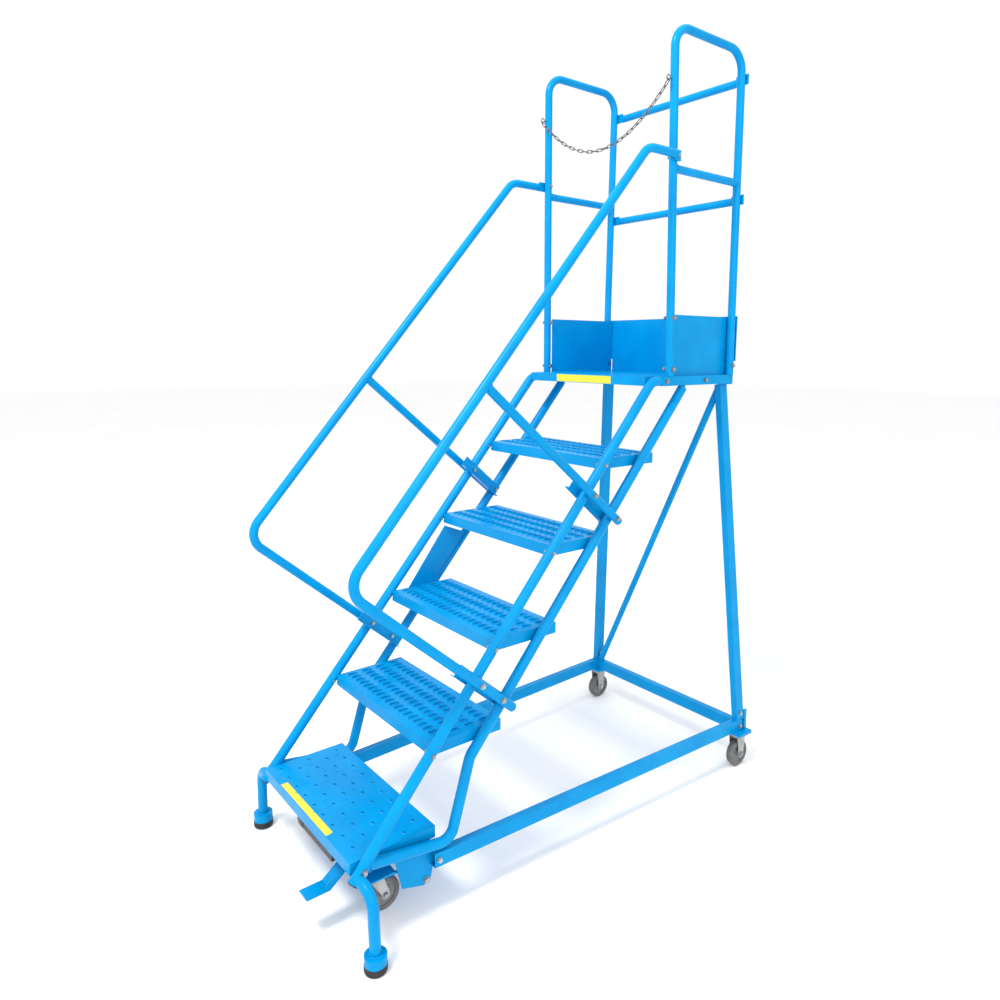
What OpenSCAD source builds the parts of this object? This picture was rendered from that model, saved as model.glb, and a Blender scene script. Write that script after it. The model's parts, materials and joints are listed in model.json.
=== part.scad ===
// Mobile ladder stand: five treads and a guarded platform on a tubular frame,
// with rubber feet in front, swivel casters, a pedal-operated caster carriage and a gate chain.
// X is across the stand, Y runs rearward from the pedal, Z is up from the floor.

/* [Stair] */
// Height of each tread above the one below, mm
step_rise = 250; // [246:1:254]
// Distance between the front edges of neighbouring treads, mm
step_run = 217.5; // [214:0.5:220]
// Depth of the upper treads, front to back, mm
tread_depth = 246; // [236:1:250]
// Height of the flange folded down around each tread, mm
tread_flange = 35; // [28:1:40]
// Thickness of the sheet in treads, deck and toe boards, mm
sheet = 2; // [1.5:0.5:3]
// Rows of grip slots in an upper tread
grip_rows = 4; // [2:1:5]
// Grip slots in each row
grip_count = 20; // [14:1:20]

/* [Side frames] */
// Distance of each side frame from the middle plane, mm
frame_x = 310; // [305:1:315]
// Outside diameter of the side frame tubes, mm
frame_od = 32; // [30:0.5:33]
// Wall of all round tubes, mm
tube_wall = 2; // [1.5:0.25:3]
// Distance rearward from the front tube to the rear tube, mm
frame_gap = 180; // [170:1:190]

/* [Platform] */
// Height of the platform's standing surface, mm
deck_top = 1505; // [1500:1:1510]
// Depth of the platform deck, mm
deck_depth = 446; // [430:1:446]
// Height of the toe boards above the deck, mm
toe_height = 208; // [150:1:220]

/* [Guard rails] */
// Outside diameter of hoops, rails and handrails, mm
rail_od = 28; // [26:0.5:28]
// Height of the hoop tops above the platform, mm
guard_top = 1138; // [1100:1:1150]
// Height of the mid rails above the platform, mm
guard_mid = 679; // [600:1:700]
// Bend radius of the hoops, mm
hoop_bend = 68; // [50:1:80]
// Distance of each handrail from the middle plane, mm
handrail_x = 340; // [340:1:345]
// Bend radius of the handrails, mm
handrail_bend = 62; // [50:1:70]

/* [Base] */
// Height of the rectangular base tubes, mm
base_high = 42; // [38:1:42]
// Width of the rectangular base tubes, mm
base_wide = 25; // [22:1:28]
// Height of the base rail centres above the floor, mm
base_z = 163; // [163:1:165]
// Diameter of the rubber feet, mm
foot_od = 62; // [56:1:66]

/* [Casters] */
// Wheel diameter, mm
wheel_od = 100; // [96:1:100]
// Wheel width, mm
wheel_wide = 30; // [26:1:32]
// Horizontal distance from the swivel axis of a front caster to its wheel axle, mm
caster_trail = 25; // [22:1:25]
// Height of the raised front wheels above the floor, mm
wheel_lift = 26; // [26:1:28]

/* [Chain] */
// Wire diameter of the chain links, mm
link_wire = 3.4; // [3:0.1:3.6]
// Inside length of a chain link, mm
link_inner = 25.3; // [25:0.1:25.3]

/* [Hidden] */
$fn = 48;

BLUE = [0.02, 0.45, 0.85];
BLACK = [0.05, 0.05, 0.06];
ZINC = [0.68, 0.69, 0.7];
GREY = [0.4, 0.4, 0.41];
YELLOW = [0.95, 0.85, 0.05];

y_mid = 841;            // middle of the footprint, which becomes Y = 0
frame_r = frame_od / 2;
rail_r = rail_od / 2;
pitch_slope = step_run / step_rise;
front_tube_y = -110.8;  // where the front tube's axis would meet the floor
tread_half = frame_x - frame_r - 0.2;
tread_drop = 3;         // how far each upper tread lies below its full rise
bottom_front_y = 65;
bottom_depth = 265;
lap = 1;                // a straight tube reaches this far into each bend
shy = 0.05;             // a bend is thinner than its straights by this, so their surfaces never coincide
foot_z = 203;           // lower end of the front tubes
side_rail_high = 32;
side_rail_z = deck_top - side_rail_high;
side_rail_wide = 25.8;
side_rail_x = frame_x - frame_r + 0.2;
side_rail_front = 1231;
side_rail_rear = 1617;
deck_front_y = 1168;
post_front_y = 1267;
post_rear_y = 1602;
post_x = 315;
post_lean_x = 0.007;    // how far the hoops lean inward and spread fore and aft, per unit of height
post_spread_front = 0.010;
post_spread_rear = 0.013;
corner_x = 379;         // base corners, where legs, rails and rear casters meet
corner_y = 1654;
base_front_x = 310;
base_front_y = 311;
pivot_y = 297;
pivot_z = 100;
caster_high = 132;
front_caster_x = 232;
front_caster_y = 192;
kingpin_r = 6;
axle_r = 5;
run_fit = 0.08;         // radial clearance of pins and axles in their holes
chain_y = 1228;
link_count = 29;        // odd, so that both end links lie alike
chain_low = 2294;
chain_curve = 0.001665;
eye_z = 2460.6;

function unit(v) = v / norm(v);
function turn(p, i) = acos(unit(p[i] - p[i - 1]) * unit(p[i + 1] - p[i]));
function cut(p, bend, i) = (i == 0 || i == len(p) - 1) ? 0 : bend * tan(turn(p, i) / 2) - lap;
function front_y(z) = front_tube_y + pitch_slope * z;
function rear_y(z) = front_y(z) + frame_gap;
function handrail_y(z) = front_y(z) - 716.2;
function post_at(z) = post_x - post_lean_x * (z - deck_top);
function front_post_y(z) = post_front_y - post_spread_front * (z - deck_top);
function rear_post_y(z) = post_rear_y + post_spread_rear * (z - deck_top);
function tread_top(k) = k == 1 ? step_rise : k * step_rise - tread_drop;
function tread_front(k) = k == 1 ? bottom_front_y : -117 + step_run * k;

// everything is drawn with Y measured from the front and then centred on the footprint
module placed() translate([0, -y_mid, 0]) children();
module rod(a, b, r) {
  v = b - a;
  translate(a) rotate([0, acos(v[2] / norm(v)), atan2(v[1], v[0])]) cylinder(r = r, h = norm(v));
}
module elbow(p, i, bend, r) {
  u = unit(p[i] - p[i - 1]);
  w = unit(p[i + 1] - p[i]);
  k = unit(cross(u, w));
  e = cross(u, k);
  c = p[i] - u * (cut(p, bend, i) + lap) - e * bend;
  multmatrix([[e[0], u[0], k[0], c[0]], [e[1], u[1], k[1], c[1]], [e[2], u[2], k[2], c[2]], [0, 0, 0, 1]])
    rotate_extrude(angle = turn(p, i)) translate([bend, 0]) circle(r = r - shy);
}
module bent_rod(p, bend, r) {
  for (i = [0 : len(p) - 2]) {
    u = unit(p[i + 1] - p[i]);
    rod(p[i] + u * cut(p, bend, i), p[i + 1] - u * cut(p, bend, i + 1), r);
  }
  for (i = [1 : 1 : len(p) - 2]) elbow(p, i, bend, r);
}
// the same line with its first and last points moved outward, for a bore that is open at both ends
function stretched(p) = [for (i = [0 : len(p) - 1])
  i == 0 ? p[0] - unit(p[1] - p[0]) : i == len(p) - 1 ? p[i] + unit(p[i] - p[i - 1]) : p[i]];
module tube(p, bend, r) difference() {
  bent_rod(p, bend, r);
  bent_rod(stretched(p), bend, r - tube_wall);
}
// a rectangular bar between two points, its width across X and its depth across Y
module bar(a, b, wide, deep, over = 0) {
  v = b - a;
  h = norm(v);
  translate(a) rotate([-asin(v[1] / h), atan2(v[0], v[2]), 0])
    translate([-wide / 2, -deep / 2, -over]) cube([wide, deep, h + 2 * over]);
}
module yz_plate(points, thick) rotate([90, 0, 90]) linear_extrude(thick) polygon(points);
// a hexagon bolt along +X with its washer's underside at the origin, and its nut at the far end
washer = 1.6;
module bolt(grip, r = 4) {
  rotate([0, -90, 0]) cylinder(r = r * 2.1, h = washer);
  translate([-washer, 0, 0]) rotate([0, -90, 0]) cylinder(r = r * 1.75, h = r * 1.3, $fn = 6);
  rotate([0, 90, 0]) cylinder(r = r, h = grip + r * 2);
  translate([grip, 0, 0]) rotate([0, 90, 0]) cylinder(r = r * 1.75, h = r * 1.4, $fn = 6);
}
module cross_bolt(side, x, y, z, grip, r = 4)
  translate([side * x, y, z]) rotate([0, 0, side > 0 ? 180 : 0]) bolt(grip, r);

frame_bend = 50;
flat_end = 6;           // thickness of a tube end that is pressed flat
module frame_tube_front(side) {
  tube([[side * frame_x, front_y(foot_z), foot_z],
    [side * frame_x, front_y(deck_top - frame_r), deck_top - frame_r],
    [side * frame_x, side_rail_front - 3, deck_top - frame_r]], frame_bend, frame_r);
  // flattened end that laps over the platform's side rail
  outer = side > 0 ? frame_x + frame_r - flat_end : -frame_x - frame_r;
  translate([outer, side_rail_front - 12, side_rail_z + 2]) cube([flat_end, 42, side_rail_high - 3]);
}
module frame_tube_front_left() placed() color(BLUE) frame_tube_front(-1);
module frame_tube_front_right() placed() color(BLUE) frame_tube_front(1);
module frame_tube_rear(side) {
  x = side * frame_x;
  top = [x, rear_y(side_rail_z - 10), side_rail_z - 10];
  knee = [x, rear_y(426), 426];
  heel = [x, 371, 197];
  toe = [x, 98, 240];
  difference() {
    tube([top, knee, heel, toe], 42, frame_r);
    rod([x, front_y(150), 150], [x, front_y(330), 330], frame_r + 0.2);
  }
  // lug that carries the side rail
  translate([x - 4, top[1] - 12, side_rail_z - 16]) cube([8, 24, 15.8]);
}
module frame_tube_rear_left() placed() color(BLUE) frame_tube_rear(-1);
module frame_tube_rear_right() placed() color(BLUE) frame_tube_rear(1);

grip_long = 33;
grip_wide = 12;
module grip_slot() {
  square([grip_wide, grip_long - grip_wide], center = true);
  for (s = [-1, 1]) translate([0, s * (grip_long - grip_wide) / 2]) circle(d = grip_wide);
}
module pan(half, deep, flange) {
  difference() {
    translate([-half, 0, -flange]) cube([2 * half, deep, flange]);
    translate([sheet - half, sheet, -flange - 1])
      cube([2 * (half - sheet), deep - 2 * sheet, flange + 1 - sheet]);
  }
}
edge_x = 14;            // plain margin beside and in front of the grip slots
edge_y = 17;
module grip_pan(half, deep, flange) {
  pitch_x = 2 * (half - edge_x) / grip_count;
  pitch_y = (deep - 2 * edge_y) / grip_rows;
  difference() {
    pan(half, deep, flange);
    translate([0, 0, -sheet - 1]) linear_extrude(sheet + 2)
      for (j = [0 : grip_rows - 1], i = [0 : grip_count - 1])
        translate([edge_x - half + pitch_x * (i + 0.5), edge_y + pitch_y * (j + 0.5)]) grip_slot();
  }
}
module tread(k) translate([0, tread_front(k), tread_top(k)]) grip_pan(tread_half, tread_depth, tread_flange);
// staggered rows of round holes in the bottom tread
hole_pitch = 62;
hole_margin = 38;
hole_size = 9;
module round_holes(deep) for (j = [0 : 4], i = [-4 : 4])
  translate([(i + (j % 2 == 0 ? 0 : 0.5)) * hole_pitch - 12, hole_margin + j * (deep - 2 * hole_margin) / 4])
    circle(d = hole_size);
module tread_1() placed() color(BLUE) translate([0, bottom_front_y, tread_top(1)]) difference() {
  pan(tread_half, bottom_depth, tread_flange);
  translate([0, 0, -sheet - 1]) linear_extrude(sheet + 2) round_holes(bottom_depth);
}
module tread_2() placed() color(BLUE) tread(2);
module tread_3() placed() color(BLUE) tread(3);
module tread_4() placed() color(BLUE) tread(4);
module tread_5() placed() color(BLUE) tread(5);

module platform_deck() placed() color(BLUE) translate([0, deck_front_y, deck_top])
  pan(tread_half, deck_depth, side_rail_high - 1);
module side_rail(side) {
  long = side_rail_rear - side_rail_front;
  left = side > 0 ? side_rail_x : -side_rail_x - side_rail_wide;
  translate([left, side_rail_front, side_rail_z]) difference() {
    cube([side_rail_wide, long, side_rail_high]);
    translate([2, -1, 2]) cube([side_rail_wide - 4, long + 2, side_rail_high - 4]);
  }
}
module platform_side_rails() placed() color(BLUE) {
  side_rail(-1);
  side_rail(1);
}

toe_front = 1276;
toe_inner = 299;
module toe_board(side) translate([side > 0 ? toe_inner - sheet : -toe_inner, toe_front, deck_top]) {
  cube([sheet, post_rear_y + rail_r - toe_front, toe_height]);
  // foot flange that rests on the side rail and the deck
  translate([side > 0 ? -18 : 0, 0, 0]) cube([20, post_rear_y + rail_r - toe_front, sheet]);
}
module toe_board_left() placed() color(BLUE) toe_board(-1);
module toe_board_right() placed() color(BLUE) toe_board(1);
// the rear board leans back with the posts it stands against
module toe_board_rear() placed() color(BLUE)
  translate([0, post_rear_y + rail_r + 0.5, deck_top]) rotate([-atan(post_spread_rear), 0, 0]) {
    translate([-tread_half, 0, -20]) cube([2 * tread_half, sheet, toe_height + 24]);
    translate([-post_x - 13, 0, 50]) cube([2 * post_x + 26, sheet, toe_height - 46]);
  }

module hoop(side) {
  top = deck_top + guard_top - rail_r;
  mid = deck_top + guard_mid;
  foot = deck_top + 0.2;
  tube([[side * post_at(foot), front_post_y(foot), foot], [side * post_at(top), front_post_y(top), top],
    [side * post_at(top), rear_post_y(top), top], [side * post_at(foot), rear_post_y(foot), foot]],
    hoop_bend, rail_r);
  difference() {
    rod([side * post_at(mid), front_post_y(mid), mid], [side * post_at(mid), rear_post_y(mid), mid],
      rail_r - 0.5);
    for (low = [mid - 60], high = [mid + 60]) {
      rod([side * post_at(low), front_post_y(low), low], [side * post_at(high), front_post_y(high), high],
        rail_r - tube_wall / 2);
      rod([side * post_at(low), rear_post_y(low), low], [side * post_at(high), rear_post_y(high), high],
        rail_r - tube_wall / 2);
    }
  }
}
module hoop_left() placed() color(BLUE) hoop(-1);
module hoop_right() placed() color(BLUE) hoop(1);

// a rail behind the rear posts, with its ends flattened and bolted to them
module rear_rail(z) {
  face = rear_post_y(z) + rail_r + 0.4;
  reach = post_at(z) - 22;
  rod([-reach, face + 15, z], [reach, face + 15, z], rail_r);
  for (s = [-1, 1]) translate([s > 0 ? reach - 10 : -reach - 40, face, z - 17]) cube([50, 5, 34]);
}
module rear_rail_top() placed() color(BLUE) rear_rail(2539);
module rear_rail_mid() placed() color(BLUE) rear_rail(2128);

brace_z = 1496;
brace_end = [1005, 1046];
return_end = [571, 548.5];
corner_hand = [46.9, 1004.5];
hand_top = 2221;
hand_end = front_post_y(hand_top);
module handrail(side) {
  x = side * handrail_x;
  difference() {
    union() {
      bent_rod([[x, return_end[0], return_end[1]], [x, corner_hand[0], corner_hand[1]],
        [x, handrail_y(hand_top), hand_top], [x, hand_end - 20, hand_top]], handrail_bend, rail_r);
      rod([x, handrail_y(brace_z), brace_z], [x, brace_end[0], brace_end[1]], rail_r - 0.5);
      // flattened end that laps over the hoop's front post
      translate([side > 0 ? handrail_x - rail_r : -handrail_x + rail_r - flat_end, hand_end - 30,
        hand_top - 17]) cube([flat_end, 43, 34]);
    }
    bent_rod([[x, return_end[0] + 1, return_end[1] - 1], [x, corner_hand[0], corner_hand[1]],
      [x, handrail_y(hand_top), hand_top], [x, hand_end - 40, hand_top]], handrail_bend, rail_r - tube_wall);
    rod([x, handrail_y(brace_z) + 20, brace_z - 17], [x, brace_end[0] + 2, brace_end[1] - 2],
      rail_r - 0.5 - tube_wall);
  }
}
module handrail_left() placed() color(BLUE) handrail(-1);
module handrail_right() placed() color(BLUE) handrail(1);

// folded angle inside the side frame, behind the bolted crossings
bracket_long = 202;
module side_bracket(side, y, z)
  translate([side * (frame_x - frame_r - 0.3), y, z]) rotate([-41, 0, 0]) {
    translate([side > 0 ? -3 : 0, -58, -20]) cube([3, bracket_long, 40]);
    translate([side > 0 ? -20 : 0, -58, -20]) cube([20, bracket_long, 3]);
  }
low_cross = [454, 650];
low_cross_rear = [528, 585.9];
mid_cross = [888, 1145];
mid_cross_rear = [990, 1058.6];
module side_brackets() placed() color(BLUE) for (side = [-1, 1]) {
  side_bracket(side, low_cross[0], low_cross[1]);
  side_bracket(side, mid_cross[0], mid_cross[1]);
}
module side_plate_left() placed() color(BLUE) translate([-tread_half, 0, 0])
  yz_plate([[601, 747.2], [697, 747.2], [845, 915], [756, 951]], 3);

leg_top = [286.7, 1590.8, side_rail_z - 3];
leg_foot = [corner_x, corner_y - 1, base_z + base_high / 2 + 2];
module leg_body(side, grow = 0)
  bar([side * leg_foot[0], leg_foot[1], leg_foot[2]], [side * leg_top[0], leg_top[1], leg_top[2]],
    base_wide + grow, 40 + grow);
module leg(side) {
  difference() {
    leg_body(side);
    bar([side * leg_foot[0], leg_foot[1], leg_foot[2]], [side * leg_top[0], leg_top[1], leg_top[2]],
      base_wide - 4, 36, 5);
  }
  // head plate bolted under the side rail
  translate([side > 0 ? leg_top[0] - 14 : -leg_top[0] - 34, leg_top[1] - 22, side_rail_z - 2.2])
    cube([48, 44, 2]);
}
module leg_left() placed() color(BLUE) leg(-1);
module leg_right() placed() color(BLUE) leg(1);
module diagonal_brace() placed() color(BLUE) difference() {
  rod([272, 1593, 1447], [-352, 1645, 187], 12.5);
  leg_body(-1, 0.4);
  leg_body(1, 0.4);
  translate([-corner_x, corner_y - 30, base_z]) cube([corner_x, 50, base_high / 2 + 0.3]);
}

base_rear_y = corner_y + 13;
module base_rail(side) {
  a = [side * base_front_x, base_front_y, base_z];
  b = [side * corner_x, base_rear_y, base_z];
  v = b - a;
  h = norm(v);
  translate(a) rotate([0, 0, -atan2(v[0], v[1])]) translate([-base_wide / 2, 0, -base_high / 2])
    difference() {
      cube([base_wide, h, base_high]);
      translate([2, -1, 2]) cube([base_wide - 4, h + 2, base_high - 4]);
    }
}
module base_rail_left() placed() color(BLUE) base_rail(-1);
module base_rail_right() placed() color(BLUE) base_rail(1);
module rear_crossbar() placed() color(BLUE) {
  reach = corner_x - base_wide / 2 - 3;
  translate([-reach, corner_y - 20, base_z - base_high / 2]) difference() {
    cube([2 * reach, base_wide, base_high]);
    translate([-1, 2, 2]) cube([2 * reach + 2, base_wide - 4, base_high - 4]);
  }
}
plate_z = base_z - base_high / 2;
caster_base = 76;       // side of the square caster plates
corner_back = corner_y + 20.3;
module corner_plates() placed() color(BLUE) for (side = [-1, 1]) {
  // base plate over the caster, and an upright angle behind the leg
  translate([side * corner_x - caster_base / 2, corner_y - caster_base / 2, caster_high])
    cube([caster_base, caster_base, plate_z - caster_high - 0.2]);
  translate([side * corner_x - 14, corner_back, plate_z - 0.3]) cube([28, 3, 78]);
  translate([side > 0 ? corner_x + 11 : -corner_x - 14, corner_back, plate_z - 0.3]) cube([3, 15, 78]);
}

foot_x = 390;
foot_y = 85;
pad_high = 22;
foot_bend = 54;
foot_root = 216;
cup_high = 25;
module foot_leg(side) {
  path = [[side * frame_x, front_y(foot_root), foot_root], [side * (foot_x - 6), foot_y - 2, foot_root - 8],
    [side * foot_x, foot_y, pad_high + 6]];
  difference() {
    bent_rod(path, foot_bend, frame_r - 0.5);
    bent_rod([path[0], path[1], [path[2][0], path[2][1], pad_high + 20]], foot_bend,
      frame_r - 0.5 - tube_wall);
    rod([side * frame_x, front_y(150), 150], [side * frame_x, front_y(330), 330], frame_r + 0.2);
  }
  // cup that holds the rubber foot
  translate([side * foot_x, foot_y, pad_high]) cylinder(r = foot_od / 2 - 1, h = cup_high);
}
module foot_leg_left() placed() color(BLUE) foot_leg(-1);
module foot_leg_right() placed() color(BLUE) foot_leg(1);
module foot_pads() placed() color(BLACK) for (side = [-1, 1]) translate([side * foot_x, foot_y, 0]) {
  cylinder(r1 = foot_od / 2 - 2, r2 = foot_od / 2, h = 3);
  translate([0, 0, 3]) cylinder(r = foot_od / 2, h = pad_high - 3);
}

module pivot_plates() placed() color(BLUE) for (side = [-1, 1])
  translate([side > 0 ? frame_x - frame_r - 0.5 : -frame_x + frame_r - 2.5, 0, 0]) difference() {
    yz_plate([[197, 205], [209, 150], [220, 107], [290, 86], [310, 92], [324, 150], [328, 184],
      [300, 189]], 3);
    translate([-1, pivot_y, pivot_z]) rotate([0, 90, 0]) cylinder(r = 5, h = 5);
  }

// a plug that stands 2 mm out of the lower end of a tube whose end is at (y, z)
module plug(x, y, z, r) rod([x, y + 2.3, z - 2], [x, y, z], r);
module tube_plugs() placed() color(BLACK) for (side = [-1, 1]) {
  plug(side * handrail_x, return_end[0], return_end[1], rail_r - 1);
  plug(side * handrail_x, brace_end[0], brace_end[1], rail_r - 1.4);
  rod([side * frame_x, front_y(foot_z - 2), foot_z - 2], [side * frame_x, front_y(foot_z), foot_z],
    frame_r - 1);
}

bolt_out = handrail_x + rail_r + 0.2;
module frame_bolts() placed() color(ZINC) for (side = [-1, 1]) {
  for (c = [low_cross, low_cross_rear, mid_cross, mid_cross_rear])
    cross_bolt(side, bolt_out, c[0], c[1], 64);
  cross_bolt(side, frame_x + frame_r + 0.2, 1241, 1489, 10);
  cross_bolt(side, frame_x + frame_r - 5.6, 1457, 1489, 8);
  cross_bolt(side, post_x + rail_r + 0.4, front_post_y(deck_top + 24), deck_top + 24, 34);
  cross_bolt(side, post_x + rail_r + 0.4, post_rear_y, deck_top + 34, 34);
  cross_bolt(side, post_x + rail_r - 0.9, front_post_y(deck_top + 195), deck_top + 195, 34);
  cross_bolt(side, handrail_x - rail_r + flat_end + 0.2, hand_end, hand_top, 36);
  cross_bolt(side, corner_x + base_wide / 2 - 1, corner_y - 5, base_z + 50, 24);
  cross_bolt(side, corner_x + base_wide / 2 + 0.4, corner_y - 4, base_z - 2, 24);
  cross_bolt(side, frame_x + 14, base_front_y + 14, base_z, 34);
  cross_bolt(side, frame_x + frame_r + 0.2, front_y(232), 232, 36);
  for (k = [2 : 5], z = [tread_top(k) - 18]) cross_bolt(side, frame_x + frame_r + 0.2, front_y(z), z, 36, 3);
}

module hazard_strips() placed() color(YELLOW) {
  translate([-177, bottom_front_y + 3, tread_top(1)]) cube([321, 22, 0.4]);
  translate([-145, deck_front_y - 0.4, deck_top - 29]) cube([281, 0.4, 26]);
}

// eye with a straight bore, on which the end link turns
eye_ring_r = 8;
eye_bore_r = 6.3;
module eye_ring(x) translate([x, chain_y, eye_z]) rotate([0, 90, 0]) difference() {
  rotate_extrude() translate([eye_ring_r, 0]) circle(r = 2);
  translate([0, 0, -3]) cylinder(r = eye_bore_r, h = 6);
}
module chain_eyes() placed() color(ZINC) for (side = [-1, 1]) {
  x = side * post_at(eye_z);
  eye_ring(x);
  rod([x, chain_y + 7.5, eye_z], [x, post_front_y - rail_r + 0.5, eye_z], 2.5);
}

// chain: links along a hanging curve, alternately turned a quarter turn
link_step = link_inner - 0.5;
link_bow = (link_wire + 5.4) / 2;
function curve_z(x) = chain_low + chain_curve * x * x;
function along(k) = k == 0 ? 0 : let (x = along(k - 1), s = 2 * chain_curve * (x + link_step / 2))
  x + link_step / sqrt(1 + s * s);
module link() {
  half = (link_inner + link_wire) / 2 - link_bow;
  for (s = [-1, 1]) {
    translate([-half, s * link_bow, 0]) rotate([0, 90, 0]) cylinder(d = link_wire, h = 2 * half);
    translate([s * half, 0, 0]) rotate([0, 0, s > 0 ? -90 : 90])
      rotate_extrude(angle = 180) translate([link_bow, 0]) circle(d = link_wire - 0.1);
  }
}
module link_at(side, k) {
  x = side * along(k);
  translate([x, chain_y, curve_z(x)]) rotate([0, -atan(2 * chain_curve * x), 0])
    rotate([k % 2 == 0 ? 90 : 0, 0, 0]) link();
}
last_link = (link_count - 1) / 2;
module safety_chain() placed() color(ZINC)
  for (side = [-1, 1], k = [side > 0 ? 0 : 1 : last_link - 1]) link_at(side, k);
module chain_hooks() placed() color(ZINC) for (side = [-1, 1]) link_at(side, last_link);

// caster parts stand on the swivel axis at the origin, with the wheel trailing towards -Y
plate_thick = 4;
module fixed_plate() translate([-caster_base / 2, -caster_base / 2, caster_high - plate_thick])
  cube([caster_base, caster_base, plate_thick]);
module caster_plate() difference() {
  union() {
    fixed_plate();
    translate([0, 0, caster_high - 13]) cylinder(r = 23, h = 9.5);
  }
  translate([0, 0, caster_high - 20]) cylinder(r = kingpin_r + run_fit, h = 21);
}
module caster_fork() {
  wide = wheel_wide / 2 + 3;
  crown = caster_high - 16.5;
  translate([0, 0, crown]) cylinder(r = 22, h = 3);
  translate([-wide - 3, -22, crown - 3]) cube([2 * wide + 6, 40, 3.5]);
  translate([0, 0, crown]) cylinder(r = kingpin_r, h = caster_high - crown - 1);
  for (s = [-1, 1]) translate([s > 0 ? wide : -wide - 3, 0, 0]) difference() {
    yz_plate([[-22, crown], [18, crown], [6, wheel_od / 2 + 8], [-caster_trail + 14, wheel_od / 2 - 12],
      [-caster_trail - 12, wheel_od / 2 - 12], [-caster_trail - 13, wheel_od / 2 + 10]], 3);
    translate([-1, -caster_trail, wheel_od / 2]) rotate([0, 90, 0]) cylinder(r = axle_r, h = 5);
  }
}
// a fork that can't turn, with the wheel straight below its plate
module fixed_fork() {
  wide = wheel_wide / 2 + 3;
  crown = caster_high - plate_thick - 0.1;
  translate([-wide - 3, -24, crown - 3]) cube([2 * wide + 6, 48, 3]);
  for (s = [-1, 1]) translate([s > 0 ? wide : -wide - 3, 0, 0]) difference() {
    yz_plate([[-24, crown], [24, crown], [13, wheel_od / 2 - 4], [8, wheel_od / 2 - 12],
      [-8, wheel_od / 2 - 12], [-13, wheel_od / 2 - 4]], 3);
    translate([-1, 0, wheel_od / 2]) rotate([0, 90, 0]) cylinder(r = axle_r, h = 5);
  }
}
module caster_axle() translate([0, -caster_trail, wheel_od / 2]) rotate([0, 90, 0]) {
  long = wheel_wide + 12;
  translate([0, 0, -long / 2]) cylinder(r = axle_r, h = long + 6);
  translate([0, 0, -long / 2 - 5]) cylinder(r = 8.5, h = 5, $fn = 6);
  translate([0, 0, long / 2 + 0.2]) cylinder(r = 8.5, h = 5, $fn = 6);
}
module caster_wheel() translate([0, -caster_trail, wheel_od / 2]) rotate([0, 90, 0]) difference() {
  union() {
    translate([0, 0, -wheel_wide / 2 + 2]) cylinder(r = wheel_od / 2 - 2, h = wheel_wide - 4);
    rotate_extrude() translate([wheel_od / 2 - 12, 0]) circle(r = 12);
    translate([0, 0, -wheel_wide / 2]) cylinder(r = 15, h = wheel_wide);
  }
  for (s = [-1, 1]) translate([0, 0, s > 0 ? wheel_wide / 2 - 7 : -wheel_wide / 2 - 1]) difference() {
    cylinder(r = wheel_od / 2 - 15, h = 8);
    translate([0, 0, -1]) cylinder(r = 15, h = 10);
  }
  translate([0, 0, -wheel_wide]) cylinder(r = axle_r + run_fit, h = 2 * wheel_wide);
}
module at_rear(side) translate([side * corner_x, corner_y, 0]) children();
module at_rear_hub(side) at_rear(side) translate([0, caster_trail, 0]) children();
module at_front(side) translate([side * front_caster_x, front_caster_y - caster_trail, wheel_lift])
  rotate([0, 0, 180]) children();
module rear_caster_plates() placed() color(ZINC) for (side = [-1, 1]) at_rear(side) fixed_plate();
module front_caster_plates() placed() color(BLACK) for (side = [-1, 1]) at_front(side) caster_plate();
module front_fork_left() placed() color(ZINC) at_front(-1) caster_fork();
module front_fork_right() placed() color(ZINC) at_front(1) caster_fork();
module front_axle_left() placed() color(ZINC) at_front(-1) caster_axle();
module front_axle_right() placed() color(ZINC) at_front(1) caster_axle();
module front_wheel_left() placed() color(GREY) at_front(-1) caster_wheel();
module front_wheel_right() placed() color(GREY) at_front(1) caster_wheel();
module rear_fork_left() placed() color(ZINC) at_rear(-1) fixed_fork();
module rear_fork_right() placed() color(ZINC) at_rear(1) fixed_fork();
module rear_axle_left() placed() color(ZINC) at_rear_hub(-1) caster_axle();
module rear_axle_right() placed() color(ZINC) at_rear_hub(1) caster_axle();
module rear_wheel_left() placed() color(GREY) at_rear_hub(-1) caster_wheel();
module rear_wheel_right() placed() color(GREY) at_rear_hub(1) caster_wheel();

carriage_z = wheel_lift + caster_high;
carriage_front = 126;
carriage_deep = 79;
arm_x = 283;
arm_wide = 5;
module carriage_frame() placed() color(BLUE) {
  // cross plate over the caster plates, with arms back to the pivot
  translate([-arm_x - arm_wide, carriage_front, carriage_z]) cube([2 * (arm_x + arm_wide), carriage_deep, 5]);
  for (side = [-1, 1]) difference() {
    translate([side > 0 ? arm_x : -arm_x - arm_wide, 0, 0]) yz_plate([[170, carriage_z + 4],
      [170, carriage_z - 1], [212, carriage_z - 3], [240, 118], [282, 88], [297, 85], [311, 92], [312, 108],
      [262, carriage_z + 4]], arm_wide);
    translate([side * arm_x - 10, pivot_y, pivot_z]) rotate([0, 90, 0])
      cylinder(r = axle_r + run_fit, h = 20);
  }
}
bar_wide = 192;
bar_high = 24;
module carriage_bar() placed() color(BLACK)
  translate([-76, carriage_front - 30, carriage_z - 15]) cube([bar_wide, 29.9, bar_high]);
pedal_x = 140;
pedal_z = 118;
pedal_wide = 50;
pedal_rise = 36;
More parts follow.
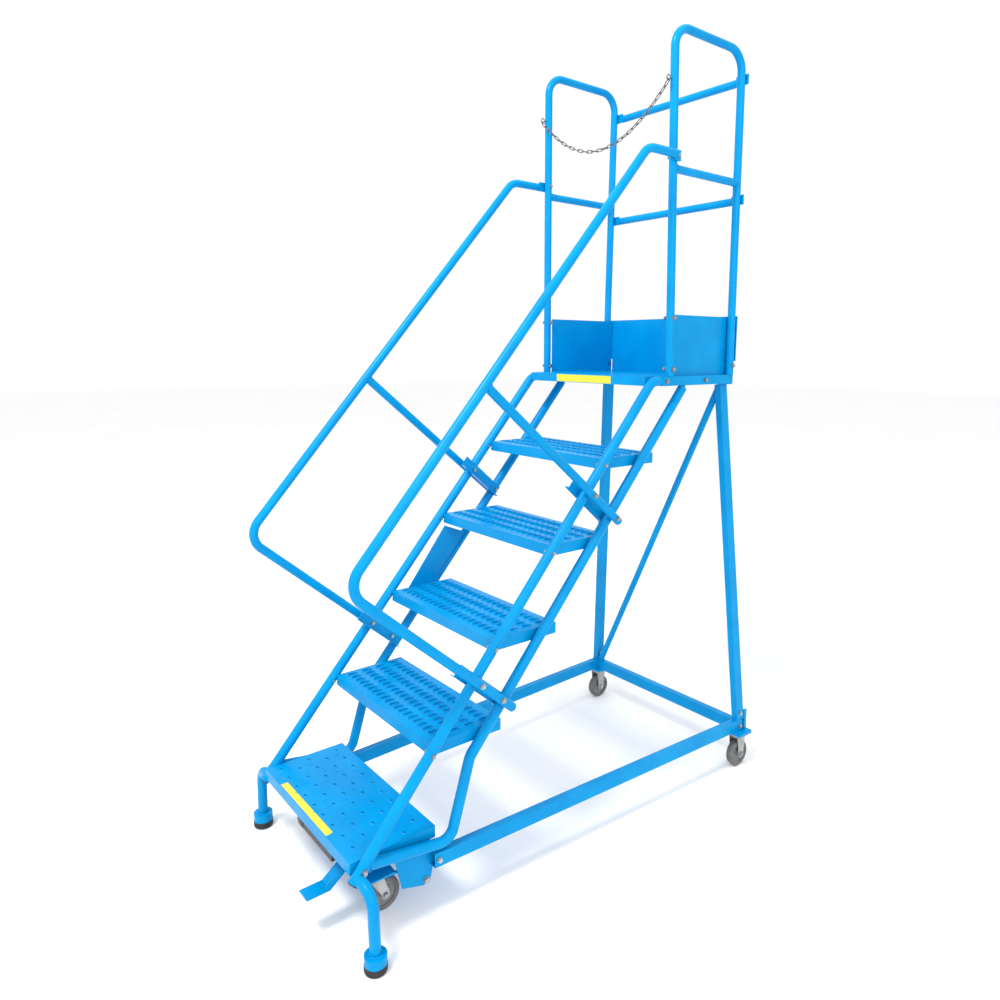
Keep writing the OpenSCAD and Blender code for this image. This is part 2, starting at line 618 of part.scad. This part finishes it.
module pedal() placed() color(BLUE) translate([pedal_x, 0, pedal_z]) {
  yz_plate([[-12, 0], [56, 0], [104, pedal_rise], [150, pedal_rise], [150, pedal_rise + 3.8],
    [102, pedal_rise + 3.8], [54, 4], [-12, 4]], pedal_wide);
  // stiffening flange along its right edge
  translate([pedal_wide - 4, 0, 0]) yz_plate([[38, 3], [55, 3], [103, pedal_rise + 2], [132, pedal_rise + 2],
    [106, pedal_rise + 3.6], [44, 20]], 4);
}
module pivot_pins() placed() color(ZINC) for (side = [-1, 1])
  cross_bolt(side, frame_x - frame_r + 2.7, pivot_y, pivot_z, 19, axle_r);

frame_tube_front_left();
frame_tube_front_right();
frame_tube_rear_left();
frame_tube_rear_right();
tread_1();
tread_2();
tread_3();
tread_4();
tread_5();
platform_deck();
platform_side_rails();
toe_board_left();
toe_board_right();
toe_board_rear();
hoop_left();
hoop_right();
rear_rail_top();
rear_rail_mid();
handrail_left();
handrail_right();
side_brackets();
side_plate_left();
leg_left();
leg_right();
diagonal_brace();
base_rail_left();
base_rail_right();
rear_crossbar();
corner_plates();
foot_leg_left();
foot_leg_right();
foot_pads();
pivot_plates();
pivot_pins();
tube_plugs();
frame_bolts();
hazard_strips();
chain_eyes();
rear_caster_plates();
carriage_frame();
carriage_bar();
pedal();
front_caster_plates();
front_fork_left();
front_fork_right();
front_axle_left();
front_axle_right();
front_wheel_left();
front_wheel_right();
rear_fork_left();
rear_fork_right();
rear_axle_left();
rear_axle_right();
rear_wheel_left();
rear_wheel_right();
safety_chain();
chain_hooks();
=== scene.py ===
import bpy
import bmesh
import json
import math
from mathutils import Matrix, Vector


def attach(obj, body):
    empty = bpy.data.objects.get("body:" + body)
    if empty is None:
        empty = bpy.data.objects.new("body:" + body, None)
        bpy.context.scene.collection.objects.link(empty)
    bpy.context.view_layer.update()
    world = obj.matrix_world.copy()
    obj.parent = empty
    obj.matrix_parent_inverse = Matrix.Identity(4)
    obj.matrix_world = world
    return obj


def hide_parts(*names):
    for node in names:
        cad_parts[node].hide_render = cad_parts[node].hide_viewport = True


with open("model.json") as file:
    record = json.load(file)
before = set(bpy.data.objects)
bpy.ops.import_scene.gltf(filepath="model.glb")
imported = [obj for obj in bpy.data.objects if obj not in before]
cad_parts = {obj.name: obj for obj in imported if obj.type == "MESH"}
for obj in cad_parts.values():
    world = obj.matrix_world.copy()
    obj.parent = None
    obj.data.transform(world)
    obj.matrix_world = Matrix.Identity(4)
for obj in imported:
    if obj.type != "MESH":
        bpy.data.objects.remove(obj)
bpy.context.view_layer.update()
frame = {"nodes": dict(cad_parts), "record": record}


# ---------- materials ----------
def new_material(name):
    mat = bpy.data.materials.new(name)
    mat.use_nodes = True
    tree = mat.node_tree
    return mat, tree, tree.nodes["Principled BSDF"]


def noise(tree, scale, detail=3.0, rough=0.5):
    coords = tree.nodes.new("ShaderNodeTexCoord")
    tex = tree.nodes.new("ShaderNodeTexNoise")
    tex.inputs["Scale"].default_value = scale
    tex.inputs["Detail"].default_value = detail
    tex.inputs["Roughness"].default_value = rough
    tree.links.new(coords.outputs["Object"], tex.inputs["Vector"])
    return tex


def ramp(tree, source, stops):
    node = tree.nodes.new("ShaderNodeValToRGB")
    node.color_ramp.elements[0].position = stops[0][0]
    node.color_ramp.elements[0].color = (*stops[0][1], 1)
    node.color_ramp.elements[1].position = stops[1][0]
    node.color_ramp.elements[1].color = (*stops[1][1], 1)
    tree.links.new(source, node.inputs["Fac"])
    return node


def spread(tree, source, low, high):
    node = tree.nodes.new("ShaderNodeMapRange")
    node.inputs["To Min"].default_value = low
    node.inputs["To Max"].default_value = high
    tree.links.new(source, node.inputs["Value"])
    return node


def bump(tree, source, strength, distance):
    node = tree.nodes.new("ShaderNodeBump")
    node.inputs["Strength"].default_value = strength
    node.inputs["Distance"].default_value = distance
    tree.links.new(source, node.inputs["Height"])
    return node


def finish_of(name, low, high, rough, metal=0.0, scale=9.0, grain=900.0, relief=0.00005, gloss=0.5):
    """A surface whose colour and roughness wander between two values, with a fine relief."""
    mat, tree, shader = new_material(name)
    broad = noise(tree, scale, 4.0)
    tint = ramp(tree, broad.outputs["Fac"], [(0.35, low), (0.65, high)])
    tree.links.new(tint.outputs["Color"], shader.inputs["Base Color"])
    worn = noise(tree, scale * 5, 5.0, 0.6)
    roughness = spread(tree, worn.outputs["Fac"], *rough)
    tree.links.new(roughness.outputs["Result"], shader.inputs["Roughness"])
    fine = noise(tree, grain, 2.0)
    surface = bump(tree, fine.outputs["Fac"], 0.5, relief)
    tree.links.new(surface.outputs["Normal"], shader.inputs["Normal"])
    shader.inputs["Metallic"].default_value = metal
    shader.inputs["Specular IOR Level"].default_value = gloss
    return mat


blue = finish_of("blue_powder_coat", (0.0, 0.245, 0.56), (0.0, 0.285, 0.62), (0.22, 0.30),
                 grain=420.0, relief=0.0001, gloss=0.10)
zinc = finish_of("bright_zinc", (0.30, 0.31, 0.32), (0.46, 0.47, 0.48), (0.28, 0.45),
                 metal=1.0, scale=40.0)
chain_zinc = finish_of("chain_zinc", (0.13, 0.13, 0.135), (0.26, 0.26, 0.265), (0.22, 0.40),
                       metal=1.0, scale=70.0)
caster_steel = finish_of("caster_steel", (0.30, 0.30, 0.30), (0.44, 0.44, 0.43), (0.35, 0.5),
                         metal=0.9, scale=30.0)
wheel_core = finish_of("wheel_core", (0.16, 0.16, 0.16), (0.21, 0.21, 0.205), (0.4, 0.55), scale=60.0)
black_rubber = finish_of("black_rubber", (0.010, 0.010, 0.011), (0.022, 0.022, 0.023), (0.55, 0.75),
                         scale=50.0)
black_paint = finish_of("black_paint", (0.010, 0.010, 0.012), (0.018, 0.018, 0.020), (0.35, 0.5),
                        scale=30.0)
grey_tyre = finish_of("grey_tyre", (0.10, 0.098, 0.095), (0.14, 0.136, 0.13), (0.45, 0.6), scale=60.0)
yellow_film = finish_of("yellow_film", (0.66, 0.60, 0.03), (0.74, 0.68, 0.04), (0.35, 0.45), scale=60.0)
black_plastic = finish_of("black_plastic", (0.012, 0.012, 0.013), (0.02, 0.02, 0.022), (0.4, 0.55),
                          scale=40.0)
looks = {"blue_paint": blue, "zinc": zinc, "black_rubber": black_rubber, "black_paint": black_paint,
         "grey_tyre": grey_tyre, "yellow_strip": yellow_film, "black_plastic": black_plastic}


def look_of(node, slot):
    if "chain" in node:
        return chain_zinc
    if slot == "zinc" and any(word in node for word in ("fork", "axle", "caster_plates")):
        return caster_steel
    return looks[slot]


slot_of = {part["node"]: part["material_slot"] for part in frame["record"]["subparts"]}
for name, obj in frame["nodes"].items():
    for place in obj.material_slots:
        place.material = look_of(name, slot_of[name])

# ---------- mesh helpers ----------
X, Y, Z = Vector((1, 0, 0)), Vector((0, 1, 0)), Vector((0, 0, 1))
SIDES = (("left", -1), ("right", 1))
Y_MID = 0.841           # distance from the front datum to the middle of the stand


def at(x, y, z):
    """A place given across the stand, back from the front datum and up from the floor."""
    return Vector((x, y - Y_MID, z))


def finish_mesh(name, bm, body, material, replaced=(), smooth=40):
    bmesh.ops.recalc_face_normals(bm, faces=bm.faces)
    mesh = bpy.data.meshes.new(name)
    bm.to_mesh(mesh)
    bm.free()
    mesh.materials.append(material)
    mesh.shade_smooth()
    mesh.set_sharp_from_angle(angle=math.radians(smooth))
    obj = bpy.data.objects.new(name, mesh)
    bpy.context.collection.objects.link(obj)
    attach(obj, body)
    if replaced:
        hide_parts(*replaced)


def skin(bm, rings, closed_path=False):
    """Joins closed rings of points into a skin."""
    rows = [[bm.verts.new(p) for p in ring] for ring in rings]
    n = len(rows[0])
    last = len(rows) if closed_path else len(rows) - 1
    for i in range(last):
        a, b = rows[i], rows[(i + 1) % len(rows)]
        for j in range(n):
            k = (j + 1) % n
            bm.faces.new((a[j], a[k], b[k], b[j]))
    return rows


def cap(bm, rows):
    bm.faces.new(rows[0])
    bm.faces.new(rows[-1])


def frame_on(axis):
    """Two directions square to an axis and to each other."""
    axis = axis.normalized()
    other = Z if abs(axis.z) < 0.9 else X
    u = axis.cross(other).normalized()
    return u, axis.cross(u)


def spokes(axis, count):
    """Directions evenly spaced round an axis."""
    u, v = frame_on(axis)
    return [u * math.cos(a) + v * math.sin(a) for a in (2 * math.pi * i / count for i in range(count))]


def lathe(bm, centre, axis, profile, steps=64):
    """Turns (radius, distance along axis) points round the axis; the profile is a closed loop."""
    along = axis.normalized()
    rings = [[centre + out * r + along * h for r, h in profile] for out in spokes(axis, steps)]
    skin(bm, rings, True)


def mirrored(half):
    """A lathe profile whose second half is the first one turned over."""
    return half + [(r, -h) for r, h in reversed(half)]


def bead(bm, path, radius, closed=True, sides=8, wave=0.12):
    """A weld bead along a path, its thickness rippling as weld metal does."""
    n = len(path)
    rings = []
    for i, p in enumerate(path):
        ahead = path[(i + 1) % n] if closed or i < n - 1 else p
        behind = path[i - 1] if closed or i > 0 else p
        r = radius * (1 + wave * math.sin(i * 2.1) + 0.5 * wave * math.sin(i * 5.3 + 1))
        rings.append([p + out * r for out in spokes(ahead - behind, sides)])
    rows = skin(bm, rings, closed)
    if not closed:
        cap(bm, rows)


def ring_path(centre, axis, radius, steps=40):
    return [centre + out * radius for out in spokes(axis, steps)]


def line_path(a, b, steps=24):
    return [a.lerp(b, i / steps) for i in range(steps + 1)]


def slab(bm, outline, x0, x1, place, bevel=0.0006):
    """A plate cut to a (y, z) outline between x0 and x1, with eased edges."""
    part = bmesh.new()
    a = [part.verts.new((x0, y, z)) for y, z in outline]
    b = [part.verts.new((x1, y, z)) for y, z in outline]
    part.faces.new(a)
    part.faces.new(list(reversed(b)))
    for i in range(len(a)):
        j = (i + 1) % len(a)
        part.faces.new((a[i], b[i], b[j], a[j]))
    bmesh.ops.recalc_face_normals(part, faces=part.faces)
    bmesh.ops.bevel(part, geom=list(part.edges), offset=bevel, segments=2, affect="EDGES", profile=0.5)
    part.transform(place)
    temp = bpy.data.meshes.new("temp")
    part.to_mesh(temp)
    part.free()
    bm.from_mesh(temp)
    bpy.data.meshes.remove(temp)


def block(bm, y0, y1, z0, z1, x0, x1, place, bevel=0.0006):
    slab(bm, [(y0, z0), (y1, z0), (y1, z1), (y0, z1)], x0, x1, place, bevel)


def hexagon(bm, centre, axis, across, height):
    """A bolt head or nut with its edges turned down."""
    along = axis.normalized()
    r = across / math.sqrt(3)
    corners = spokes(axis, 6)
    rows = [[bm.verts.new(centre + along * h + out * r * scale) for out in corners]
            for scale, h in ((1.0, 0.0), (1.0, height * 0.8), (0.86, height))]
    low = bm.verts.new(centre)
    high = bm.verts.new(centre + along * height)
    for i in range(6):
        j = (i + 1) % 6
        bm.faces.new((low, rows[0][j], rows[0][i]))
        bm.faces.new((high, rows[-1][i], rows[-1][j]))
        for a, b in zip(rows, rows[1:]):
            bm.faces.new((a[i], a[j], b[j], b[i]))


def round_end(y, z, radius, first, last, steps=14):
    """Points along an arc round (y, z), clockwise from the first angle to the last."""
    return [(y + radius * math.cos(a), z + radius * math.sin(a))
            for a in (math.radians(first + (last - first) * i / steps) for i in range(steps + 1))]


# ---------- treads ----------
STEP_RISE = 0.25
STEP_RUN = 0.2175
TREAD_HALF = 0.2938     # half the width of a tread
TREAD_DEEP = 0.246      # depth of an upper tread
UPPER_TREADS = range(2, 6)
UPPER_SINK = 0.003      # how far an upper tread sits below the even rise
GRIP_ROWS, GRIP_COUNT = 4, 20
GRIP_EDGE_X, GRIP_EDGE_Y = 0.014, 0.017
GRIP_HALF_LONG, GRIP_RADIUS = 0.0165, 0.006
TOOTH_HIGH, TOOTH_LOW = 0.0034, 0.0016
LIP_DEPTH = 0.0080


def oval(half_y, r, count=24):
    """Points round a slot that is long in Y, with their outward directions."""
    straight = half_y - r
    points = []
    for i in range(count):
        a = 2 * math.pi * i / count
        c, s = math.cos(a), math.sin(a)
        shift = straight if s > 0 else -straight if s < 0 else 0
        points.append((Vector((r * c, r * s + shift, 0)), Vector((c, s, 0))))
    return points


def toothed_rim(bm, place):
    """A toothed rim punched up round a grip slot, with a lip turned down inside."""
    rings = []
    for i, (p, n) in enumerate(oval(GRIP_HALF_LONG, GRIP_RADIUS)):
        crest = TOOTH_HIGH if i % 4 in (0, 1) else TOOTH_LOW
        shape = ((0.0032, -0.0004), (0.0012, crest), (0.0, crest), (-0.0002, -0.0016),
                 (-0.0002, -LIP_DEPTH), (0.0010, -LIP_DEPTH), (0.0012, -0.0018))
        rings.append([place + p + n * out + Z * height for out, height in shape])
    skin(bm, rings, True)


for k in UPPER_TREADS:
    front, level = -0.117 + STEP_RUN * k, STEP_RISE * k - UPPER_SINK
    pitch_x = 2 * (TREAD_HALF - GRIP_EDGE_X) / GRIP_COUNT
    pitch_y = (TREAD_DEEP - 2 * GRIP_EDGE_Y) / GRIP_ROWS
    bm = bmesh.new()
    for j in range(GRIP_ROWS):
        for i in range(GRIP_COUNT):
            x = GRIP_EDGE_X - TREAD_HALF + pitch_x * (i + 0.5)
            toothed_rim(bm, at(x, front + GRIP_EDGE_Y + pitch_y * (j + 0.5), level))
    finish_mesh("tread_teeth_%d" % k, bm, "frame", blue, smooth=55)

# the bottom tread's punched holes stand in staggered rows
HOLE_ROWS, HOLE_COUNT = 5, 9
HOLE_PITCH, HOLE_MARGIN = 0.062, 0.038
BOTTOM_FRONT, BOTTOM_DEEP = 0.065, 0.265
holes = []
for j in range(HOLE_ROWS):
    stagger = 0.5 * (j % 2)
    y = BOTTOM_FRONT + HOLE_MARGIN + j * (BOTTOM_DEEP - 2 * HOLE_MARGIN) / (HOLE_ROWS - 1)
    holes += [at((i - 4 + stagger) * HOLE_PITCH - 0.012, y, STEP_RISE) for i in range(HOLE_COUNT)]
bm = bmesh.new()
for place in holes:
    lathe(bm, place, Z, [(0.0043, -0.0055), (0.0043, 0.0018), (0.0056, 0.0021), (0.0085, -0.0003),
                         (0.0054, -0.0012), (0.0054, -0.0055)], 28)
finish_mesh("tread_1_punched_rims", bm, "frame", blue)

BAR_HALF, BAR_WIDE, BAR_HIGH = 0.011, 0.003, 0.0017
BAR_LIMIT = 0.27        # no bar stands further out than this


def grip_bar(bm, centre, along, across, steps=8):
    """A low pressed ridge that tapers to both ends."""
    rings = []
    for i in range(steps + 1):
        t = i / steps
        p = centre + along * BAR_HALF * (2 * t - 1)
        foot = across * BAR_WIDE * math.sin(math.pi * max(t, 0.05))
        rings.append([p - foot - Z * 0.0006, p + Z * (BAR_HIGH * math.sin(math.pi * t) + 0.0002),
                      p + foot - Z * 0.0006])
    cap(bm, skin(bm, rings))


bm = bmesh.new()
for i, place in enumerate(holes):
    turned = i % 2 == 1
    centre = place + Vector((HOLE_PITCH / 2, 0.012 if turned else -0.012, 0))
    if abs(centre.x) <= BAR_LIMIT:
        grip_bar(bm, centre, X if turned else Y, Y if turned else X)
finish_mesh("tread_1_grip_bars", bm, "frame", blue)

# ---------- welds ----------
RAIL_R, FRAME_R = 0.0135, 0.0165    # where a bead lies round a guard rail or a side tube
RAIL_BEAD, FRAME_BEAD, CORNER_BEAD = 0.0022, 0.0026, 0.0024
MID_RAIL_Z = 2.184
MID_RAIL_RISE = 0.679               # height of the hoops' mid rails above the deck
POST_X, POST_LEAN = 0.315, 0.007
POST_FRONT_Y, POST_REAR_Y = 1.267, 1.602
POST_SPREAD_FRONT, POST_SPREAD_REAR = 0.010, 0.013
CORNER_X, CORNER_Y = 0.379, 1.654
FOOT_X, FOOT_Y = 0.390, 0.085


def hoop_beads(bm, s):
    x = s * (POST_X - POST_LEAN * MID_RAIL_RISE)
    front = POST_FRONT_Y - POST_SPREAD_FRONT * MID_RAIL_RISE + RAIL_R
    rear = POST_REAR_Y + POST_SPREAD_REAR * MID_RAIL_RISE - RAIL_R
    for y in (front, rear):
        bead(bm, ring_path(at(x, y, MID_RAIL_Z), Y, RAIL_R), RAIL_BEAD)


def tube_beads(bm, s):
    """Where the handrail's brace and the foot of the rear side tube meet their tubes."""
    brace = Vector((0, 0.762, -0.647)).normalized()
    meet = at(s * 0.340, 0.4743, 1.496)
    bead(bm, ring_path(meet + brace * RAIL_R, brace, RAIL_R), RAIL_BEAD)
    heel = Vector((0, -0.988, 0.155)).normalized()
    bead(bm, ring_path(at(s * 0.310, 0.1125, 0.2377), heel, FRAME_R), FRAME_BEAD)


def tread_beads(bm, s):
    """Upright beads where each tread's ends meet the side tubes."""
    x = s * 0.2943
    for k in range(1, 6):
        upper = k > 1
        level = STEP_RISE * k - (UPPER_SINK if upper else 0)
        tube = STEP_RUN / STEP_RISE * level - 0.1108
        if upper:
            rear = tube + 0.180
            bead(bm, line_path(at(x, rear - 0.032, level - 0.034), at(x, rear, level)), RAIL_BEAD, False)
        front = tube - 0.004 if upper else tube + 0.004
        bead(bm, line_path(at(x, front, level - 0.030), at(x, tube + 0.016, level - 0.001)),
             RAIL_BEAD, False)


def corner_beads(bm, s):
    """Round the leg's foot and up the ends of the rear crossbar."""
    top = at(s * CORNER_X, CORNER_Y, 0.185)
    for dy in (-0.020, 0.019):
        bead(bm, line_path(top + Vector((-0.0125, dy, 0)), top + Vector((0.0125, dy, 0))),
             CORNER_BEAD, False)
    for dy in (-0.020, 0.005):
        low = at(s * (CORNER_X - 0.0155), CORNER_Y + dy, 0.142)
        bead(bm, line_path(low, low + Z * 0.042), CORNER_BEAD, False)


bm = bmesh.new()
for _, s in SIDES:
    hoop_beads(bm, s)
    tube_beads(bm, s)
    tread_beads(bm, s)
    corner_beads(bm, s)
    bead(bm, ring_path(at(s * FOOT_X, FOOT_Y, 0.0472), Z, FRAME_R), CORNER_BEAD)
finish_mesh("weld_beads", bm, "frame", blue, smooth=70)

# ---------- casters ----------
WHEEL_R = 0.050
WHEEL_LIFT = 0.026      # height of the raised front wheels above the floor
TRAIL = 0.025           # from a front caster's swivel axis to its axle
FRONT_X, FRONT_Y = 0.232, 0.167
BOLT_HALF_PITCH = 0.029
CHEEK_IN, CHEEK_OUT = 0.0182, 0.0209    # faces of a fork's cheeks, out from the wheel's middle
FORK_HALF = 0.0212

TYRE = mirrored([(0.0365, -0.0135), (0.0385, -0.0148), (0.0440, -0.0150), (0.0478, -0.0128),
                 (0.0496, -0.0085), (WHEEL_R, -0.0030)])
CORE = mirrored([(0.0051, -0.0150), (0.0120, -0.0150), (0.0132, -0.0135), (0.0140, -0.0080),
                 (0.0300, -0.0060), (0.0345, -0.0080), (0.0355, -0.0132), (0.0366, -0.0132)])
CORE_BOSS = mirrored([(0.0001, -0.0078), (0.0036, -0.0078), (0.0042, -0.0068)])
BOSS_COUNT, BOSS_AT = 5, 0.0225
AXLE = mirrored([(0.0004, -0.0275), (0.0042, -0.0275), (0.0049, -0.0268)])
SWIVEL_RACE = [(0.0055, 0.1150), (0.0200, 0.1150), (0.0222, 0.1158), (0.0222, 0.1176),
               (0.0200, 0.1184), (0.0060, 0.1184)]
KINGPIN = [(0.0005, 0.118), (0.0059, 0.118), (0.0059, 0.1305), (0.0050, 0.131), (0.0005, 0.131)]
TURNING_FORK = ([(0.018, 0.1125), (0.0165, 0.100)] + round_end(-TRAIL, WHEEL_R, 0.0135, 20, -200)
                + [(-0.0225, 0.100), (-0.022, 0.1125)])
FIXED_FORK = ([(0.0235, 0.1225), (0.0225, 0.112)] + round_end(0, WHEEL_R, 0.0160, 15, -195)
              + [(-0.0225, 0.112), (-0.0235, 0.1225)])


def wheel(end, side, hub):
    """A grey tyre on a dished core with raised bosses between hub and rim."""
    body = "%s_roller_%s" % (end, side)
    bm = bmesh.new()
    lathe(bm, hub, X, TYRE, 96)
    finish_mesh("%s_tyre_%s" % (end, side), bm, body, grey_tyre,
                ["%s_wheel_%s" % (end, side)])
    bm = bmesh.new()
    lathe(bm, hub, X, CORE, 96)
    for out in spokes(X, BOSS_COUNT):
        lathe(bm, hub + out * BOSS_AT, X, CORE_BOSS, 20)
    finish_mesh("%s_wheel_core_%s" % (end, side), bm, body, wheel_core)


def turning_fork(bm, place):
    """Two cheeks under a crown with the swivel race on it; the wheel trails towards -Y."""
    for q in (-1, 1):
        slab(bm, TURNING_FORK, q * CHEEK_IN, q * CHEEK_OUT, place)
    block(bm, -0.0225, 0.0185, 0.1126, 0.1155, -FORK_HALF, FORK_HALF, place, 0.001)
    lathe(bm, place @ Vector((0, 0, 0)), Z, SWIVEL_RACE, 56)


def fixed_fork(bm, place):
    """Two cheeks welded to the underside of a plain top plate."""
    for q in (-1, 1):
        slab(bm, FIXED_FORK, q * CHEEK_IN, q * CHEEK_OUT, place)
    block(bm, -0.0240, 0.0240, 0.1249, 0.1279, -FORK_HALF, FORK_HALF, place, 0.001)
    for q in (-1, 1):
        block(bm, -0.0238, 0.0238, 0.1215, 0.1255, q * CHEEK_IN, q * 0.0210, place)


def axle_bolt(bm, hub, across):
    """The axle with a washer and a hexagon at each end."""
    for q in (-1, 1):
        hexagon(bm, hub + across * q * 0.0222, across * q, 0.0145, 0.0048)
        lathe(bm, hub, across, [(0.0052, q * 0.0211), (0.0095, q * 0.0211), (0.0095, q * 0.0223),
                                (0.0052, q * 0.0223)], 36)
    lathe(bm, hub, across, AXLE, 32)


def plate_bolts(name, centre, body):
    """Four heads under a caster's top plate."""
    bm = bmesh.new()
    for dx in (-BOLT_HALF_PITCH, BOLT_HALF_PITCH):
        for dy in (-BOLT_HALF_PITCH, BOLT_HALF_PITCH):
            hexagon(bm, centre + Vector((dx, dy, 0)), -Z, 0.010, 0.0042)
    finish_mesh(name, bm, body, zinc)


for side, s in SIDES:
    turned = Matrix.Translation(at(s * FRONT_X, FRONT_Y, WHEEL_LIFT)) @ Matrix.Rotation(math.pi, 4, "Z")
    straight = Matrix.Translation(at(s * CORNER_X, CORNER_Y, 0))
    for end, place, trail, body in (("front", turned, TRAIL, "front_swivel_%s" % side),
                                    ("rear", straight, 0, "frame")):
        hub = place @ Vector((0, -trail, WHEEL_R))
        wheel(end, side, hub)
        bm = bmesh.new()
        if end == "front":
            turning_fork(bm, place)
        else:
            fixed_fork(bm, place)
        finish_mesh("%s_fork_body_%s" % (end, side), bm, body, caster_steel,
                    ["%s_fork_%s" % (end, side)])
        bm = bmesh.new()
        if end == "front":
            lathe(bm, place @ Vector((0, 0, 0)), Z, KINGPIN, 32)
        axle_bolt(bm, hub, place.to_3x3() @ X)
        finish_mesh("%s_axle_bolt_%s" % (end, side), bm, body, zinc,
                    ["%s_axle_%s" % (end, side)])
    plate_bolts("rear_plate_bolts_%s" % side, at(s * CORNER_X, CORNER_Y, 0.1279), "frame")
    plate_bolts("front_plate_bolts_%s" % side, at(s * FRONT_X, FRONT_Y, 0.1539), "carriage")

# ---------- rubber feet ----------
FOOT_R, RIB_DIP = 0.0310, 0.0302
FOOT_PROFILE = [(0.0004, 0.0001), (0.0270, 0.0001), (0.0292, 0.0016), (0.0300, 0.0040),
                (FOOT_R, 0.0060), (FOOT_R, 0.0090), (RIB_DIP, 0.0101), (FOOT_R, 0.0112),
                (FOOT_R, 0.0140), (RIB_DIP, 0.0151), (FOOT_R, 0.0162), (FOOT_R, 0.0206),
                (0.0300, 0.0218), (0.0004, 0.0218)]
bm = bmesh.new()
for _, s in SIDES:
    lathe(bm, at(s * FOOT_X, FOOT_Y, 0), Z, FOOT_PROFILE, 72)
finish_mesh("rubber_feet", bm, "frame", black_rubber, ["foot_pads"])

# ---------- floor, light and camera ----------
bpy.ops.mesh.primitive_grid_add(x_subdivisions=4, y_subdivisions=4, size=60, location=(0, 0, 0))
floor = bpy.context.object
floor.name = "floor"
floor.data.materials.append(finish_of("floor_paint", (0.94, 0.94, 0.94), (0.96, 0.96, 0.96), (0.6, 0.7),
                                      scale=1.0, grain=60.0))

world = bpy.data.worlds.new("studio")
bpy.context.scene.world = world
world.use_nodes = True
background = world.node_tree.nodes["Background"]
background.inputs["Color"].default_value = (1.0, 1.0, 1.0, 1)
background.inputs["Strength"].default_value = 1.02
bpy.context.scene.view_settings.view_transform = "Standard"


def area_light(name, place, aim, size, power):
    data = bpy.data.lights.new(name, "AREA")
    data.shape = "DISK"
    data.size = size
    data.energy = power
    lamp = bpy.data.objects.new(name, data)
    lamp.location = place
    lamp.rotation_euler = (Vector(aim) - Vector(place)).to_track_quat("-Z", "Y").to_euler()
    bpy.context.collection.objects.link(lamp)


area_light("key", (0.6, -3.2, 6.4), (0, 0, 0.9), 1.6, 300)
area_light("fill", (4.5, -1.0, 3.0), (0, 0, 1.0), 3.0, 60)

# the camera looks from the front right, a little down, with its picture shifted to frame the stand
AZIMUTH, ELEVATION, ROLL = math.radians(50.69), math.radians(7.21), math.radians(0.31)
EYE = Vector((2.0033, -1.59557, 1.59159))
forward = -Vector((math.sin(AZIMUTH) * math.cos(ELEVATION), -math.cos(AZIMUTH) * math.cos(ELEVATION),
                   math.sin(ELEVATION)))
right = Vector((math.cos(AZIMUTH), math.sin(AZIMUTH), 0))
up = right.cross(forward)
rolled_right = math.cos(ROLL) * right + math.sin(ROLL) * up
rolled_up = -math.sin(ROLL) * right + math.cos(ROLL) * up
pose = Matrix((rolled_right, rolled_up, -forward)).transposed().to_4x4()
pose.translation = EYE
cam_data = bpy.data.cameras.new("camera")
cam_data.sensor_width = 36
cam_data.lens = 27.40
cam_data.shift_x = -0.0230
cam_data.shift_y = -0.0539
cam_data.clip_end = 60
cam = bpy.data.objects.new("camera", cam_data)
bpy.context.collection.objects.link(cam)
cam.matrix_world = pose
bpy.context.scene.camera = cam
